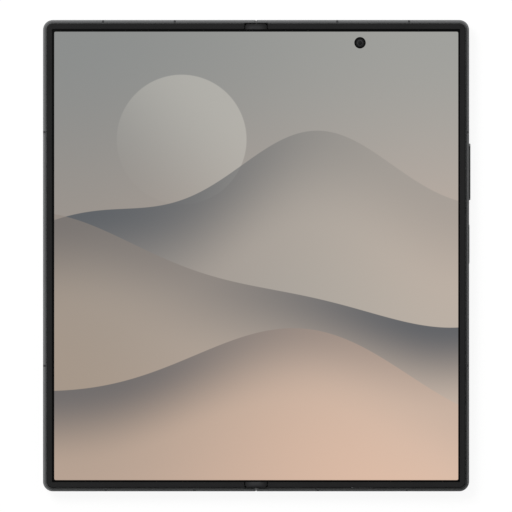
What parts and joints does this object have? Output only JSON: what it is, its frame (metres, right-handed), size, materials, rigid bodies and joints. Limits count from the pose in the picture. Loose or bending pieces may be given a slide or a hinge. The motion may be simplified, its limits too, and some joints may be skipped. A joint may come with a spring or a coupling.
{
  "type": "foldable smartphone",
  "caption": "Book-style foldable phone, open flat, with a folding inner screen, geared spine hinge, side keys, card tray and rear camera island.",
  "frame": {"origin": "on the fold line at mid height, in the plane of the rear lens rims that the phone lies on", "axes": "+X to the right across the open screen, +Y up the height of the screen along the fold line, +Z out of the screen"},
  "size_m": [0.1437, 0.1584, 0.0064],
  "materials": {
    "anodised_frame": "satin anodised, dark graphite",
    "hinge_steel": "brushed",
    "bright_steel": "bright",
    "black_trim": "fine matt",
    "folding_display": "gloss film over a lit panel",
    "black_glass": "polished",
    "frosted_glass": "frosted, dark graphite",
    "cover_panel": "gloss",
    "antenna_plastic": "matt",
    "flash_plastic": "clear ribbed",
    "camera_plastic": "matt",
    "cell_foil": "dark wrap over foil",
    "board_laminate": "solder mask",
    "flex_film": "amber film"
  },
  "bodies": {
    "spine": {"spine_cover": "anodised_frame", "hinge_block_top": "hinge_steel", "hinge_block_bottom": "hinge_steel", "cam_followers": "bright_steel", "detent_springs": "bright_steel", "centre_plate": "hinge_steel", "spine_cap_top": "black_trim", "spine_cap_bottom": "black_trim", "hinge_block_screws": "bright_steel", "display_fold_zone": "folding_display", "hinge_flex_cable": "flex_film"},
    "right_half": {"right_frame": "anodised_frame", "right_trim": "black_trim", "right_display": "folding_display", "right_leaf_top": "hinge_steel", "right_leaf_bottom": "hinge_steel", "right_leaf_screws": "bright_steel", "right_antenna_breaks": "antenna_plastic", "back_glass": "frosted_glass", "camera_island": "anodised_frame", "lens_rims": "anodised_frame", "lens_glasses": "black_glass", "flash_lens": "flash_plastic", "rear_camera_top": "camera_plastic", "rear_camera_middle": "camera_plastic", "rear_camera_bottom": "camera_plastic", "selfie_camera": "camera_plastic", "right_battery": "cell_foil", "main_board": "board_laminate", "board_shields": "bright_steel", "port_socket": "bright_steel", "loudspeaker": "camera_plastic", "vibration_motor": "bright_steel", "key_switches": "bright_steel"},
    "left_half": {"left_frame": "anodised_frame", "left_trim": "black_trim", "left_display": "folding_display", "left_leaf_top": "hinge_steel", "left_leaf_bottom": "hinge_steel", "left_leaf_screws": "bright_steel", "left_antenna_breaks": "antenna_plastic", "cover_glass": "black_glass", "cover_display": "cover_panel", "cover_camera": "camera_plastic", "left_battery": "cell_foil", "left_board": "board_laminate", "earpiece": "camera_plastic", "card_reader": "bright_steel"},
    "timing_arms_right": {"timing_arm_right_top": "hinge_steel", "timing_arm_right_bottom": "hinge_steel"},
    "timing_arms_left": {"timing_arm_left_top": "hinge_steel", "timing_arm_left_bottom": "hinge_steel"},
    "idlers_right": {"idler_gears_right": "hinge_steel"},
    "idlers_left": {"idler_gears_left": "hinge_steel"},
    "wing_right": {"wing_plate_right": "hinge_steel"},
    "wing_left": {"wing_plate_left": "hinge_steel"},
    "volume_key": {"volume_key": "anodised_frame"},
    "power_key": {"power_key": "anodised_frame"},
    "card_tray": {"card_tray": "anodised_frame"}
  },
  "joints": [
    {"name": "fold_right", "type": "hinge", "parent": "spine", "child": "right_half", "pos_m": [0.00128, 0, 0.00517], "axis": [0, -1, 0], "range_deg": [0, 90], "deforming": ["display_fold_zone", "hinge_flex_cable"]},
    {"name": "fold_left", "type": "hinge", "parent": "spine", "child": "left_half", "pos_m": [-0.00128, 0, 0.00517], "axis": [0, 1, 0], "range_deg": [0, 90], "deforming": ["display_fold_zone", "hinge_flex_cable"]},
    {"name": "timing_right", "type": "hinge", "parent": "spine", "child": "timing_arms_right", "pos_m": [0.0021, 0, 0.00435], "axis": [0, -1, 0], "range_deg": [0, 90]},
    {"name": "idler_right", "type": "hinge", "parent": "spine", "child": "idlers_right", "pos_m": [0.0007, 0, 0.00435], "axis": [0, 1, 0], "range_deg": [0, 90]},
    {"name": "idler_left", "type": "hinge", "parent": "spine", "child": "idlers_left", "pos_m": [-0.0007, 0, 0.00435], "axis": [0, -1, 0], "range_deg": [0, 90]},
    {"name": "timing_left", "type": "hinge", "parent": "spine", "child": "timing_arms_left", "pos_m": [-0.0021, 0, 0.00435], "axis": [0, 1, 0], "range_deg": [0, 90]},
    {"name": "wing_right_dip", "type": "hinge", "parent": "right_half", "child": "wing_right", "pos_m": [0.0091, 0, 0.00515], "axis": [0, -1, 0], "range_deg": [0, 6.5]},
    {"name": "wing_left_dip", "type": "hinge", "parent": "left_half", "child": "wing_left", "pos_m": [-0.0091, 0, 0.00515], "axis": [0, 1, 0], "range_deg": [0, 6.5]},
    {"name": "volume_key_press", "type": "slide", "parent": "right_half", "child": "volume_key", "axis": [-1, 0, 0], "range_m": [0, 0.00025], "stiffness_N_per_m": 3000, "springref_m": -0.0003},
    {"name": "power_key_press", "type": "slide", "parent": "right_half", "child": "power_key", "axis": [-1, 0, 0], "range_m": [0, 0.00025], "stiffness_N_per_m": 3000, "springref_m": -0.0003},
    {"name": "card_tray_slide", "type": "slide", "parent": "left_half", "child": "card_tray", "axis": [-1, 0, 0], "range_m": [0, 0.018]}
  ],
  "couplings": [
    {"joint": "fold_left", "follows": "fold_right", "ratio": 1},
    {"joint": "timing_right", "follows": "fold_right", "ratio": 1},
    {"joint": "idler_right", "follows": "fold_right", "ratio": 1},
    {"joint": "idler_left", "follows": "fold_right", "ratio": 1},
    {"joint": "timing_left", "follows": "fold_right", "ratio": 1},
    {"joint": "wing_right_dip", "follows": "fold_right", "ratio": 0.07222},
    {"joint": "wing_left_dip", "follows": "fold_right", "ratio": 0.07222}
  ]
}
